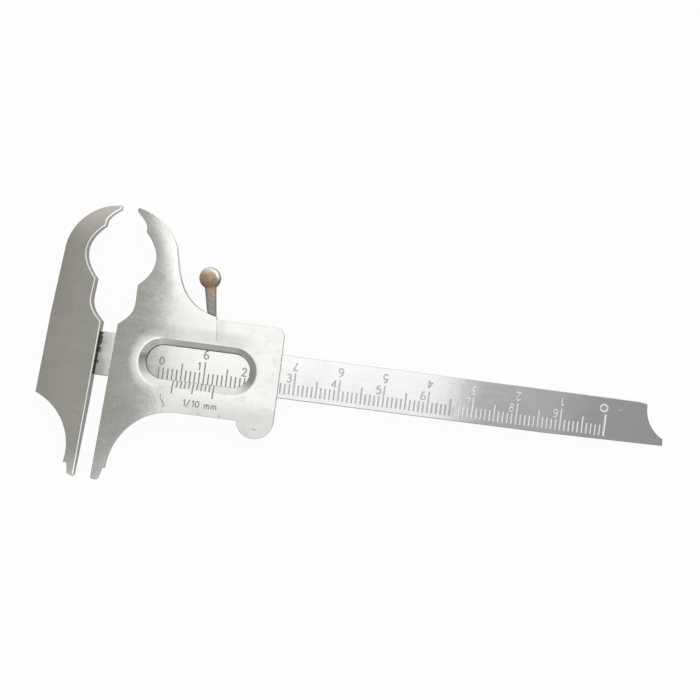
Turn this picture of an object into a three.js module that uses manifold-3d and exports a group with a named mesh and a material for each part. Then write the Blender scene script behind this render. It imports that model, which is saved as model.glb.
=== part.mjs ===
// A small slide calliper of the watchmaker's and dental kind, with curved beaks above, straight
// jaws below, a vernier in a bevelled window and a ball-ended lock lever.
// Millimetres. +X runs along the beam away from the fixed jaw, +Y towards the curved beaks and
// +Z out of the graduated face. The gauge lies on its back plate, which rests on Z = 0.
import * as THREE from 'three';
import { mergeGeometries, mergeVertices } from 'three/addons/utils/BufferGeometryUtils.js';
import Module from 'manifold-3d';

const wasm = await Module();
wasm.setup();

// Reading
const scaleLength = 100;
const markPitch = 1;
const midMarkCount = 5;
const longMarkCount = 10;
const vernierDivisions = 10;
const opening = 3.6;
const faceToZero = 13.8;

// Heights of the layers, from the table up
const backPlateThickness = 0.8;
const slideGap = 0.15;
const beamThickness = 1.2;
const webThickness = 1.5;

// Beam
const beamWidth = 9.7;
const beamTail = 13.75;
const beamSeat = 8.6;
const noseHeight = 1.6;
const noseDraft = 0.15;
const noseTaper = 0.45;
const taperLength = 27.5;
const noseLength = 4.5;
const notchRadius = 7.7;
const headCornerWidth = 2.1;
const headCornerDrop = 0.25;

// Engraved marks
const markWidth = 0.3;
const markDepth = 0.12;
const markFoot = 1.05;
const shortMark = 2.4;
const midMark = 3.8;
const longMark = 4.8;
const vernierMarkWidth = 0.26;
const vernierMarkDepth = 0.12;
const vernierEndMarkLength = 1.35;
const vernierMidMarkLength = 0.9;

// Jaws, measured from the leaning measuring face and along it
const jawLean = THREE.MathUtils.degToRad(2.7);
const upperReach = 32.65;
const lowerReach = 27.45;
const beakTip = 0.7;
const kneeHeight = 6.9;
const cornerHeight = 16.05;
const hookHeight = 4.25;
const cornerDepth = 2.8;
const throatDepth = 5.75;
const hookDepth = 2.65;
const crownRadius = 11.88;
const tipLength = 2.75;
const tipWidth = 2.0;
const tipEndWidth = 1.65;
const tipRound = 0.8;
const fixedCrownDepth = 10.48;
const fixedBackDepth = 11.05;
const fixedFootDepth = 11.26;
const fixedShoulder = 10.0;
const fixedHollowRadius = 12.65;
const fixedTipDepth = 2.65;
const movingCrownDepth = 10.75;
const movingBeakDepth = 9.8;
const movingShoulder = 12.2;
const movingHollowRadius = 14.2;
const movingTipDepth = 2.6;
const beakTipThickness = 1.6;
const lowerTipThickness = 1.5;

// Beak curves that follow the sizes above, as shares of their depth and height
const lowThroatShares = [[1.41, 0.38], [1.01, 0.47]];
const beakHookShares = [[0.96, 0.31], [0.9, 0.56]];
const movingBackShares = [[0.15, 0.51], [0.27, 0.91]];

// Slider
const sliderLength = 36.75;
const sliderHead = 10.65;
const sliderFoot = 10.8;
const sliderCorner = 2.2;
const tabRadius = 4.1;
const tabReach = 14.35;
const upperJawWidth = 21.5;
const lowerJawWidth = 12.2;
const windowHeight = 7.45;
const windowDrop = 0.15;
const windowStartWall = 7.3;
const windowEndWall = 6.6;
const windowBevel = 1.5;
const windowLand = 0.2;

// Back plate and its rivets
const backInset = 2.7;
const backMargin = 0.3;
const backCorner = 1.2;
const rivetInset = 2.4;
const rivetRadius = 0.8;
const rivetFit = 0.06;

// Friction spring in its pocket above the beam
const springThickness = 0.4;
const springBow = 0.45;
const springEndInset = 2.05;
const springGap = 0.1;

// Lock lever on its pin
const pinRadius = 0.7;
const pinFit = 0.06;
const pinRunningGap = 0.1;
const pinEndGap = 0.1;
const pivotInset = 0.6;
const camRadius = 2.0;
const camOffset = 0.35;
const camClearance = 0.25;
const leverLength = 12.3;
const leverLean = THREE.MathUtils.degToRad(10.5);
const leverRootLength = 5.3;
const leverRootOverlap = 1.2;
const stemRootRadius = 1.0;
const stemTopRadius = 1.2;
const ballRadius = 2.35;
const ballTableGap = 0.05;
const pocketLeft = 2.8;
const pocketRight = 3.1;

// Dowels that hold the fixed jaw on the beam
const dowelRadius = 0.8;
const dowelFit = 0.06;
const dowelGrip = 1.0;
const dowelInset = 2.6;
const dowelRise = 2.2;

const overrun = 5;
const arcSteps = 14;
const roundSteps = 32;

// Levels and places that follow
const beamBottom = backPlateThickness + slideGap;
const beamFace = beamBottom + beamThickness;
const webBottom = beamFace + slideGap;
const sliderTop = webBottom + webThickness;
const beamHalf = beamWidth / 2;
const channelHalf = beamHalf + slideGap;
const faceX = -faceToZero;
const sliderRight = faceX + sliderLength;
const upperSeamX = faceX + upperJawWidth;
const lowerSeamX = faceX + lowerJawWidth;
const windowHalf = windowHeight / 2;
const windowAxis = -windowDrop;
const windowRight = sliderRight - windowEndWall - windowHalf;
const windowLeft = faceX + windowStartWall + windowHalf;
const springRest = beamHalf + springGap;
const pocketTop = springRest + springBow + springThickness + springGap;
const pivotX = upperSeamX - pivotInset;
const springHalfLength = sliderRight - springEndInset - pivotX;
const pivotY = springRest + springThickness + camClearance + camRadius;
const stemAxis = ballRadius + ballTableGap;
const tipStepHeight = lowerReach - tipLength;

const finishes = {
  satinSteel: { color: 0xb4b2ab, roughness: 0.36, metalness: 0.9 },
  scaleSteel: { color: 0xc2c2be, roughness: 0.32, metalness: 0.9 },
  springSteel: { color: 0x8c8e90, roughness: 0.4, metalness: 0.9 },
  platedBrass: { color: 0xa89c90, roughness: 0.18, metalness: 1 },
};

// A closed solid of the boolean library from a three.js geometry
function solidOf(geometry) {
  const bare = new THREE.BufferGeometry();
  bare.setAttribute('position', geometry.getAttribute('position'));
  bare.setIndex(geometry.getIndex());
  const welded = mergeVertices(bare);
  const corners = welded.getIndex().array;
  const faces = [];
  for (let i = 0; i < corners.length; i += 3) {
    const [a, b, c] = corners.slice(i, i + 3);
    if (a !== b && b !== c && c !== a) {
      faces.push(a, b, c);
    }
  }
  return new wasm.Manifold(new wasm.Mesh({
    numProp: 3,
    vertProperties: new Float32Array(welded.getAttribute('position').array),
    triVerts: new Uint32Array(faces),
  }));
}

// A named mesh with a finish of its own
function piece(name, solid, finish) {
  const mesh = solid.getMesh();
  const geometry = new THREE.BufferGeometry();
  geometry.setAttribute('position', new THREE.BufferAttribute(mesh.vertProperties, 3));
  geometry.setIndex(new THREE.BufferAttribute(mesh.triVerts, 1));
  geometry.computeVertexNormals();
  const part = new THREE.Mesh(geometry, new THREE.MeshStandardMaterial(finish));
  part.name = name;
  return part;
}

// An outline in X and Y raised from one level to another
function slab(outline, from, to, turn = 0, x = 0) {
  const geometry = new THREE.ExtrudeGeometry(outline, {
    depth: to - from,
    bevelEnabled: false,
    curveSegments: arcSteps,
  });
  geometry.rotateZ(turn);
  geometry.translate(x, 0, from);
  return solidOf(geometry);
}

function box(left, right, low, high, from, to) {
  const geometry = new THREE.BoxGeometry(right - left, high - low, to - from);
  geometry.translate((left + right) / 2, (low + high) / 2, (from + to) / 2);
  return geometry;
}

function disc(x, y, radius, from, to) {
  const geometry = new THREE.CylinderGeometry(radius, radius, to - from, roundSteps);
  geometry.rotateX(Math.PI / 2);
  geometry.translate(x, y, (from + to) / 2);
  return solidOf(geometry);
}

function outlineOf(points) {
  return new THREE.Shape(points.map(([x, y]) => new THREE.Vector2(x, y)));
}

// An outline in Y and Z drawn out along X
function bar(outline, from, to) {
  const geometry = new THREE.ExtrudeGeometry(outline, { depth: to - from, bevelEnabled: false });
  geometry.applyMatrix4(new THREE.Matrix4().makeBasis(
    new THREE.Vector3(0, 1, 0), new THREE.Vector3(0, 0, 1), new THREE.Vector3(1, 0, 0),
  ));
  geometry.translate(from, 0, 0);
  return geometry;
}

// A solid through rings of equal length, each one level higher than the last
function loft(rings) {
  const count = rings[0].length;
  const last = (rings.length - 1) * count;
  const faces = [];
  const flat = rings[0].map((p) => new THREE.Vector2(p.x, p.y));
  for (const [a, b, c] of THREE.ShapeUtils.triangulateShape(flat, [])) {
    faces.push(a, c, b);
    faces.push(last + a, last + b, last + c);
  }
  for (let level = 0; level < last; level += count) {
    for (let i = 0; i < count; i += 1) {
      const a = level + i;
      const b = level + (i + 1) % count;
      faces.push(a, b, b + count);
      faces.push(a, b + count, a + count);
    }
  }
  const geometry = new THREE.BufferGeometry().setFromPoints(rings.flat());
  geometry.setIndex(faces);
  return solidOf(geometry);
}

// Scale marks of the beam: one each millimetre, longer at the fives and the tens. The zero's is
// short, because its numeral stands right over it.
function scaleMarks() {
  const marks = [];
  const foot = markFoot - beamHalf;
  for (let i = 0; i <= Math.round(scaleLength / markPitch); i += 1) {
    let length = shortMark;
    if (i % midMarkCount === 0) {
      length = midMark;
    }
    if (i % longMarkCount === 0) {
      length = i === 0 ? shortMark : longMark;
    }
    const left = i * markPitch - markWidth / 2;
    marks.push(box(left, left + markWidth, foot, foot + length, beamFace - markDepth, sliderTop));
  }
  return solidOf(mergeGeometries(marks));
}

// The beam: a flat rule whose free end is cut back in a hollow above a short square nose
function makeBeam() {
  const noseX = scaleLength + beamTail;
  const noseTop = noseTaper + noseHeight - beamHalf;
  const notchX = noseX - noseLength;
  const centreX = notchX + notchRadius;
  const centreY = noseTop + Math.sqrt(notchRadius ** 2 - (centreX - noseX + noseDraft) ** 2);
  const start = Math.atan2(noseTop - centreY, noseX - noseDraft - centreX);
  const outline = new THREE.Shape();
  outline.moveTo(faceX - beamSeat, -beamHalf);
  outline.lineTo(noseX - taperLength, -beamHalf);
  outline.lineTo(noseX, noseTaper - beamHalf);
  outline.absarc(centreX, centreY, notchRadius, start, -Math.PI, true);
  outline.lineTo(notchX - noseDraft, beamHalf - headCornerDrop);
  outline.lineTo(notchX - headCornerWidth, beamHalf);
  outline.lineTo(faceX - beamSeat, beamHalf);
  const beam = slab(outline, beamBottom, beamFace).subtract(scaleMarks());
  return dowelPlaces().reduce(
    (rest, [x, y]) => rest.subtract(disc(x, y, dowelRadius + dowelFit, 0, sliderTop)),
    beam,
  );
}

// Both jaws share this edge: up the measuring face, round both throats and out to the beak's tip
function traceMeasuringEdge(path) {
  path.moveTo(0, tipRound - lowerReach);
  path.lineTo(0, kneeHeight);
  const [first, second] = lowThroatShares.map(([depth, height]) => [
    depth * cornerDepth,
    kneeHeight + height * (cornerHeight - kneeHeight),
  ]);
  path.bezierCurveTo(...first, ...second, cornerDepth, cornerHeight);
  const tipFoot = upperReach - beakTip;
  const throatHeight = tipFoot - hookHeight;
  path.quadraticCurveTo(
    2 * throatDepth - (cornerDepth + hookDepth) / 2, (cornerHeight + throatHeight) / 2,
    hookDepth, throatHeight,
  );
  const [start, middle] = beakHookShares.map(([depth, height]) => [
    depth * hookDepth,
    throatHeight + height * hookHeight,
  ]);
  path.lineTo(...start);
  path.quadraticCurveTo(...middle, 0, tipFoot);
  path.lineTo(0, upperReach);
}

// The beak's round back, from its tip to a chosen depth short of the crown's own
function traceCrown(path, crownDepth, depth) {
  const centreX = crownDepth - crownRadius;
  const centreY = upperReach - Math.sqrt(crownRadius ** 2 - centreX ** 2);
  const tip = Math.atan2(upperReach - centreY, -centreX);
  const end = Math.acos(Math.min(1, (depth - centreX) / crownRadius));
  path.absarc(centreX, centreY, crownRadius, tip, end, true);
}

// The lower jaw's hollow back and its stepped tip
function traceLowerBack(path, centre, radius, start) {
  const end = Math.PI + Math.asin((tipStepHeight + centre.y) / radius);
  path.absarc(centre.x, centre.y, radius, start, end, false);
  path.lineTo(tipWidth, -tipStepHeight);
  path.lineTo(tipEndWidth, tipRound - lowerReach);
  path.quadraticCurveTo(tipEndWidth, -lowerReach, tipEndWidth - tipRound, -lowerReach);
  path.quadraticCurveTo(0, -lowerReach, 0, tipRound - lowerReach);
}

// The fixed jaw's outline, its depth running to the left
function fixedJawOutline() {
  const path = new THREE.Path();
  traceMeasuringEdge(path);
  traceCrown(path, fixedCrownDepth, fixedCrownDepth);
  const radius = fixedHollowRadius;
  const centre = new THREE.Vector2(fixedTipDepth + radius, -fixedShoulder - radius);
  const start = Math.acos((fixedFootDepth - centre.x) / radius);
  path.lineTo(fixedBackDepth, kneeHeight);
  path.lineTo(fixedFootDepth, centre.y + radius * Math.sin(start));
  traceLowerBack(path, centre, radius, start);
  return outlineOf(path.getPoints(arcSteps).map((p) => [-p.x, p.y]));
}

// The moving jaw's outline, its depth running to the right, down to the slider's edges
function movingJawOutline() {
  const path = new THREE.Path();
  traceMeasuringEdge(path);
  traceCrown(path, movingCrownDepth, movingBeakDepth);
  const from = path.currentPoint.clone();
  const shoulder = new THREE.Vector2(0, movingShoulder);
  shoulder.x = (upperSeamX - faceX - movingShoulder * Math.sin(jawLean)) / Math.cos(jawLean);
  const [first, second] = movingBackShares.map(([depth, height]) => [
    from.x + depth * (shoulder.x - from.x),
    from.y + height * (shoulder.y - from.y),
  ]);
  path.bezierCurveTo(...first, ...second, shoulder.x, shoulder.y);
  path.lineTo(shoulder.x, 0);
  const radius = movingHollowRadius;
  const centre = new THREE.Vector2(movingTipDepth + radius, 0);
  centre.y = (centre.x * Math.sin(jawLean) - sliderFoot - radius) / Math.cos(jawLean);
  traceLowerBack(path, centre, radius, Math.PI / 2 + jawLean);
  return outlineOf(path.getPoints(arcSteps).map((p) => [p.x, p.y]));
}

// The slider's square body with its thumb tab
function sliderOutline() {
  const tabX = sliderRight - tabRadius;
  const tabY = tabRadius - tabReach;
  const tabStart = Math.PI - Math.asin((-sliderFoot - tabY) / tabRadius);
  const outline = new THREE.Shape();
  outline.moveTo(windowLeft, -sliderFoot);
  outline.lineTo(tabX + tabRadius * Math.cos(tabStart), -sliderFoot);
  outline.absarc(tabX, tabY, tabRadius, tabStart, 2 * Math.PI, false);
  outline.absarc(
    sliderRight - sliderCorner, sliderHead - sliderCorner, sliderCorner, 0, Math.PI / 2, false,
  );
  outline.lineTo(windowLeft, sliderHead);
  return outline;
}

// The window: round-ended, set a little low, with a small land at the beam and a wide bevel
function windowCutter() {
  const ring = (radius, level) => {
    const outline = new THREE.Path();
    outline.absarc(windowRight, windowAxis, radius, -Math.PI / 2, Math.PI / 2, false);
    outline.absarc(windowLeft, windowAxis, radius, Math.PI / 2, 3 * Math.PI / 2, false);
    return outline.getPoints(arcSteps).slice(0, -1).map((p) => new THREE.Vector3(p.x, p.y, level));
  };
  const slope = windowBevel / (webThickness - windowLand);
  const past = sliderTop + windowLand;
  return loft([
    ring(windowHalf, beamBottom),
    ring(windowHalf, webBottom + windowLand),
    ring(windowHalf + windowBevel + slope * windowLand, past),
  ]);
}

// Vernier marks: cut down the window's lower bevel, the first, middle and last on to the face
function vernierMarks(length, places) {
  const landTop = webBottom + windowLand;
  const windowEdge = windowAxis - windowHalf;
  const bevelEdge = windowEdge - windowBevel;
  const outline = outlineOf([
    [windowEdge, landTop - vernierMarkDepth],
    [windowEdge + windowLand, landTop - vernierMarkDepth],
    [windowEdge + windowLand, sliderTop + windowLand],
    [bevelEdge - length, sliderTop + windowLand],
    [bevelEdge - length, sliderTop - vernierMarkDepth],
    [bevelEdge, sliderTop - vernierMarkDepth],
  ]);
  const pitch = markPitch * (vernierDivisions - 1) / vernierDivisions;
  const half = vernierMarkWidth / 2;
  const marks = places.map((place) => bar(outline, place * pitch - half, place * pitch + half));
  return solidOf(mergeGeometries(marks));
}

// A jaw thinned from behind, from the slider's edges out to both tips
function thinToTips(jaw, back) {
  const wedges = [
    [-sliderFoot, -lowerReach, -lowerReach - overrun, lowerTipThickness],
    [sliderHead, upperReach, upperReach + overrun, beakTipThickness],
  ];
  return wedges.reduce((rest, [root, tip, end, thickness]) => {
    const level = sliderTop - thickness;
    const outline = outlineOf([[root, back], [tip, level], [end, level], [end, 0], [root, 0]]);
    return rest.subtract(solidOf(bar(outline, -scaleLength, scaleLength)));
  }, jaw);
}

// Jaw and slider body in one, before the seams part them
function makeSliderBody() {
  const jaw = thinToTips(
    slab(movingJawOutline(), backPlateThickness, sliderTop, -jawLean, faceX), backPlateThickness,
  );
  let body = jaw.add(slab(sliderOutline(), backPlateThickness, sliderTop));
  const end = sliderRight + overrun;
  const start = faceX - overrun;
  const channel = box(start, end, -channelHalf, channelHalf, 0, webBottom);
  const pocketHalf = springHalfLength + springGap;
  const springPocket = box(
    pivotX - pocketHalf, pivotX + pocketHalf, 0, pocketTop, 0, webBottom,
  );
  const leverPocket = box(
    pivotX - pocketLeft, pivotX + pocketRight, 0, sliderHead + overrun, 0, webBottom,
  );
  for (const cutter of [channel, springPocket, leverPocket]) {
    body = body.subtract(solidOf(cutter));
  }
  body = body.subtract(windowCutter());
  const between = [];
  for (let i = 1; i < vernierDivisions; i += 1) {
    between.push(i);
  }
  const middle = Math.round(vernierDivisions / 2);
  body = body.subtract(vernierMarks(0, between));
  body = body.subtract(vernierMarks(vernierMidMarkLength, [middle]));
  body = body.subtract(vernierMarks(vernierEndMarkLength, [0, vernierDivisions]));
  for (const [x, y] of rivetPlaces()) {
    body = body.subtract(disc(x, y, rivetRadius + rivetFit, 0, sliderTop + overrun));
  }
  return body;
}

// The region right of the two seams, where the jaw ends and the slider's plate begins
function plateRegion() {
  const far = sliderRight + overrun;
  const reach = upperReach + overrun;
  return slab(outlineOf([
    [upperSeamX, 0], [lowerSeamX, 0], [lowerSeamX, -reach],
    [far, -reach], [far, reach], [upperSeamX, reach],
  ]), 0, sliderTop + overrun);
}

function rivetPlaces() {
  const left = faceX + backInset + rivetInset;
  const right = sliderRight - backMargin - rivetInset;
  const high = sliderHead - backMargin - rivetInset;
  return [[left, high], [right, high], [left, -high], [right, -high]];
}

function dowelPlaces() {
  return [
    [faceX - beamSeat + dowelInset, dowelRise],
    [faceX - dowelInset, -dowelRise],
  ];
}

// The fixed jaw, let over the beam's end from the front
function makeFixedJaw() {
  let jaw = thinToTips(
    slab(fixedJawOutline(), beamBottom, sliderTop, -jawLean, faceX), beamBottom,
  );
  const seat = box(
    faceX - beamSeat - slideGap, faceX + overrun, -channelHalf, channelHalf, 0, beamFace,
  );
  jaw = jaw.subtract(solidOf(seat));
  for (const [x, y] of dowelPlaces()) {
    const top = beamFace + dowelGrip + dowelFit;
    jaw = jaw.subtract(disc(x, y, dowelRadius + dowelFit, 0, top));
  }
  return jaw;
}

// The plate that closes the slider's back
function makeBackPlate() {
  const left = faceX + backInset;
  const right = sliderRight - backMargin;
  const high = sliderHead - backMargin;
  const outline = new THREE.Shape();
  outline.absarc(right - backCorner, backCorner - high, backCorner, -Math.PI / 2, 0, false);
  outline.absarc(right - backCorner, high - backCorner, backCorner, 0, Math.PI / 2, false);
  outline.absarc(left + backCorner, high - backCorner, backCorner, Math.PI / 2, Math.PI, false);
  outline.absarc(
    left + backCorner, backCorner - high, backCorner, Math.PI, 3 * Math.PI / 2, false,
  );
  let plate = slab(outline, 0, backPlateThickness);
  for (const [x, y] of rivetPlaces()) {
    plate = plate.subtract(disc(x, y, rivetRadius + rivetFit, -overrun, overrun));
  }
  return plate.subtract(disc(pivotX, pivotY, pinRadius + pinFit, -overrun, overrun));
}

// A leaf bowed towards the beam: its middle rubs the beam's edge and its ends the pocket's wall
function makeSpring() {
  const outline = new THREE.Shape();
  const end = springRest + springBow;
  const dip = springRest - springBow;
  outline.moveTo(pivotX - springHalfLength, end);
  outline.quadraticCurveTo(pivotX, dip, pivotX + springHalfLength, end);
  outline.lineTo(pivotX + springHalfLength, end + springThickness);
  outline.quadraticCurveTo(
    pivotX, dip + springThickness, pivotX - springHalfLength, end + springThickness,
  );
  return slab(outline, beamBottom, beamFace);
}

// The lever, upright with its pivot at the origin: a flat cam root and a turned stem with a ball
function makeLever() {
  const cam = disc(camOffset, 0, camRadius, beamBottom, beamFace);
  const arm = box(
    -stemRootRadius, stemRootRadius, 0, leverRootLength + leverRootOverlap, beamBottom, beamFace,
  );
  const neck = Math.asin(stemTopRadius / ballRadius);
  const profile = [
    new THREE.Vector2(0, leverRootLength),
    new THREE.Vector2(stemRootRadius, leverRootLength),
  ];
  for (let i = 0; i <= arcSteps; i += 1) {
    const angle = neck + (Math.PI - neck) * i / arcSteps;
    profile.push(new THREE.Vector2(
      i === arcSteps ? 0 : ballRadius * Math.sin(angle),
      leverLength - ballRadius * Math.cos(angle),
    ));
  }
  const stem = new THREE.LatheGeometry(profile, roundSteps);
  stem.translate(0, 0, stemAxis);
  const hole = disc(0, 0, pinRadius + pinRunningGap, 0, sliderTop);
  return solidOf(stem).add(cam.add(solidOf(arm))).subtract(hole);
}

// Assembly: the slider's group carries what slides, and the lever's group what turns on its pin
const gauge = new THREE.Group();
const frame = new THREE.Group();
const slider = new THREE.Group();
const lever = new THREE.Group();

frame.add(piece('beam', makeBeam(), finishes.scaleSteel));
frame.add(piece('fixed_jaw', makeFixedJaw(), finishes.satinSteel));
dowelPlaces().forEach(([x, y], i) => {
  const dowel = disc(x, y, dowelRadius, beamBottom, beamFace + dowelGrip);
  frame.add(piece(`jaw_dowel_${i + 1}`, dowel, finishes.springSteel));
});

const body = makeSliderBody();
const region = plateRegion();
slider.add(piece('moving_jaw', body.subtract(region), finishes.satinSteel));
slider.add(piece('slider_plate', body.intersect(region), finishes.satinSteel));
slider.add(piece('back_plate', makeBackPlate(), finishes.satinSteel));
slider.add(piece('gib_spring', makeSpring(), finishes.springSteel));
rivetPlaces().forEach(([x, y], i) => {
  const rivet = disc(x, y, rivetRadius, 0, sliderTop);
  slider.add(piece(`slider_rivet_${i + 1}`, rivet, finishes.satinSteel));
});
const pin = disc(pivotX, pivotY, pinRadius, 0, webBottom - pinEndGap);
slider.add(piece('lever_pin', pin, finishes.springSteel));

lever.add(piece('lock_lever', makeLever(), finishes.platedBrass));
lever.position.set(pivotX, pivotY, 0);
lever.rotation.z = leverLean;
slider.add(lever);
slider.position.x = opening;
gauge.add(frame, slider);

// The origin is the middle of the gauge's box, on the table
gauge.updateMatrixWorld(true);
const extent = new THREE.Box3().setFromObject(gauge, true);
const middle = extent.getCenter(new THREE.Vector3());
const model = new THREE.Group();
gauge.position.set(-middle.x, -middle.y, -extent.min.z);
model.add(gauge);

export default model;
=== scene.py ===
# %% [markdown]
# # A small slide calliper in satin steel
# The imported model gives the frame: where every part lies and what moves with what. This lesson
# dresses it. Each visible part is modelled again with rounded edges, engraved marks and numerals,
# and gets a finish made of shader nodes.

import math
import random
from contextlib import contextmanager

import bmesh
import bpy
import numpy as np
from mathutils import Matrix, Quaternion, Vector
from mathutils.geometry import tessellate_polygon


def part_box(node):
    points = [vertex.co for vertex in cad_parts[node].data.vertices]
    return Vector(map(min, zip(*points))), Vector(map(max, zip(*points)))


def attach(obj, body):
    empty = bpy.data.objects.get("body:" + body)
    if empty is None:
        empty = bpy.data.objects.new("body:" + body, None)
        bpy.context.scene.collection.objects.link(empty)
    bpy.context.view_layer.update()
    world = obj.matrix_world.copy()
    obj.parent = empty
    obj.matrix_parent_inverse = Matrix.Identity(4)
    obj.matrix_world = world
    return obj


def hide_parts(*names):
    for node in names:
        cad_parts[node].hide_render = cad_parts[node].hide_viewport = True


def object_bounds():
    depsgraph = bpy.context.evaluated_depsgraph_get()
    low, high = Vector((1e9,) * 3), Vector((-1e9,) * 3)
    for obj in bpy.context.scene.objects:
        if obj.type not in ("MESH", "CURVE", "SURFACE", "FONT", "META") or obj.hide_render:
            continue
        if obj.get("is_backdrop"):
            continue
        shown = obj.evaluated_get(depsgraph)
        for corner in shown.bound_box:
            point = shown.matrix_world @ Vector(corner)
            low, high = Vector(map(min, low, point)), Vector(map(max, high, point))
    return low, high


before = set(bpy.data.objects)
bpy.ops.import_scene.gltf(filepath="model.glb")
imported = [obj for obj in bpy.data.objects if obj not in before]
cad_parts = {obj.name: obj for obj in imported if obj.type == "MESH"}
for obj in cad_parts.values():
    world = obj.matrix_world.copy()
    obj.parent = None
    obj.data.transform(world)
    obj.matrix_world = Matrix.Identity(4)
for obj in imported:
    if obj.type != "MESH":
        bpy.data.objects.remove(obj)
cad_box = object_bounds()
random.seed(7)

# %% [markdown]
# ## Sizes
# All sizes are in millimetres, measured from the scale's zero mark in the middle of the beam,
# with heights counted from the table. Meshes are built in these units, because tiny numbers in
# metres lose digits, and are scaled down once at the end.

# %% Sizes of the gauge
MM = 0.001
SCALE_LENGTH, OPENING, FACE_X = 100, 3.6, -13.8
BACK, BEAM_LOW, BEAM_TOP, WEB_LOW, TOP = 0.8, 0.95, 2.15, 2.3, 3.8
BEAM_HALF, BEAM_TAIL, BEAM_SEAT = 4.85, 13.75, 8.6
CHANNEL_HALF = 5.0
LEAN = math.radians(2.7)
UPPER_REACH, LOWER_REACH = 32.65, 27.45
SLIDER_LENGTH, HEAD, FOOT = 36.75, 10.65, 10.8
RIGHT = FACE_X + SLIDER_LENGTH
UPPER_SEAM, LOWER_SEAM = RIGHT - 15.25, RIGHT - 24.55
FINE_EDGE, MEASURING_EDGE, MOVING_EDGE = 0.09, 0.35, 0.14

beam_low, beam_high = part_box("beam")
ZERO = Vector((
    beam_high[0] - (SCALE_LENGTH + BEAM_TAIL) * MM,
    (beam_low[1] + beam_high[1]) / 2,
    0,
))

# %% [markdown]
# ## Camera
# The photograph was taken from above at arm's length. Because the scale's marks are a known
# millimetre apart, the camera's place and turn could be worked out from them.

# %% Camera
CAMERA_PLACE = Vector((34.43, 7.62, 201.87))
CAMERA_TURN = Vector((-0.00104, -0.03418, 0.13147))
FOCAL_SHARE = 9 / 7


def add(name, data):
    """Puts a new object in the scene"""
    thing = bpy.data.objects.new(name, data)
    bpy.context.scene.collection.objects.link(thing)
    return thing


eye = add("camera", bpy.data.cameras.new("camera"))
eye.data.sensor_width = 36
eye.data.lens = eye.data.sensor_width * FOCAL_SHARE
eye.data.clip_start = 0.01
eye.rotation_mode = "QUATERNION"
eye.rotation_quaternion = Quaternion(CAMERA_TURN.normalized(), CAMERA_TURN.length)
eye.location = ZERO + CAMERA_PLACE * MM
bpy.context.scene.camera = eye
bpy.context.scene.view_settings.view_transform = "Standard"

# %% [markdown]
# ## Shader maths
# A finish is easier to read as a sum than as a web of nodes. A small class stands for one socket
# and turns +, - and * into Math nodes. Everything else comes from one method that makes a node,
# sets it up and wires it.


# %% Shader tools
class Value:
    """One socket of a node tree, used in sums like a number"""

    def __init__(self, tree, socket):
        self.tree = tree
        self.socket = socket

    def __add__(self, other):
        return self.tree.maths("ADD", self, other)

    def __sub__(self, other):
        return self.tree.maths("SUBTRACT", self, other)

    def __rsub__(self, other):
        return self.tree.maths("SUBTRACT", other, self)

    def __mul__(self, other):
        return self.tree.maths("MULTIPLY", self, other)

    __radd__, __rmul__ = __add__, __mul__


class Shader:
    """A node tree with one way to add a node"""

    def __init__(self, owner):
        owner.use_nodes = True
        self.owner = owner
        self.nodes = owner.node_tree.nodes
        self.links = owner.node_tree.links

    def node(self, kind, settings=None, sockets=None, out=0):
        made = self.nodes.new("ShaderNode" + kind)
        for name, value in (settings or {}).items():
            setattr(made, name, value)
        self.wire(made, sockets or {})
        return Value(self, made.outputs[out])

    def wire(self, made, sockets):
        for name, value in sockets.items():
            if isinstance(value, Value):
                self.links.new(value.socket, made.inputs[name])
            else:
                made.inputs[name].default_value = value

    def maths(self, operation, *values):
        return self.node("Math", {"operation": operation}, dict(enumerate(values)))

    def ease(self, value, low, high):
        """0 below low, 1 above high and a smooth step between"""
        return self.node("MapRange", {"interpolation_type": "SMOOTHSTEP"}, {
            "Value": value, "From Min": low, "From Max": high,
        })

    def fade(self, value, low, high):
        """1 below low, 0 above high and a smooth step between"""
        return 1 - self.ease(value, low, high)

    def band(self, value, low, full, fading, high):
        """1 between full and fading and 0 beyond low and high"""
        return self.ease(value, low, full) * self.fade(value, fading, high)

    def mix(self, share, first, second):
        return self.node("Mix", {"data_type": "RGBA"}, {0: share, 6: first, 7: second}, out=2)

    def part(self, vector, axis):
        return self.node("SeparateXYZ", None, {"Vector": vector}, axis)

    def vector(self, operation, first, second, out=0):
        return self.node("VectorMath", {"operation": operation}, {0: first, 1: second}, out)

    def plan(self, place):
        """A place's x and y"""
        return self.part(place, "X"), self.part(place, "Y")

    def away(self, place, x, y):
        """How far a place is from a point, seen from above"""
        flat = self.vector("MULTIPLY", place, (1, 1, 0))
        return self.vector("DISTANCE", flat, (x, y, 0), "Value")

    def noise(self, place, cells, detail=3, rough=0.5):
        """Cloudy noise about zero, with so many cells to the unit along each axis"""
        return self.node("TexNoise", None, {
            "Vector": self.vector("MULTIPLY", place, cells), "Scale": 1, "Detail": detail,
            "Roughness": rough,
        }, "Fac") - 0.5


# %% [markdown]
# ## Floor, sky and lamps
# Flat polished steel shows what hangs above it, so it is lit by placing things for it to reflect.
# A wide soft panel overhead turns the middle of the gauge almost white, and the grey ceiling
# around it leaves both ends mid grey. The sky is brighter behind the gauge than in front, which
# makes one side of each bevel light and the other dark. The floor is white to the eye and in
# reflections, and its share of plain white paint keeps the shadow.

# %% Floor
GLOW_SEEN, GLOW_MIRRORED = 0.95, 0.4

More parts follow.
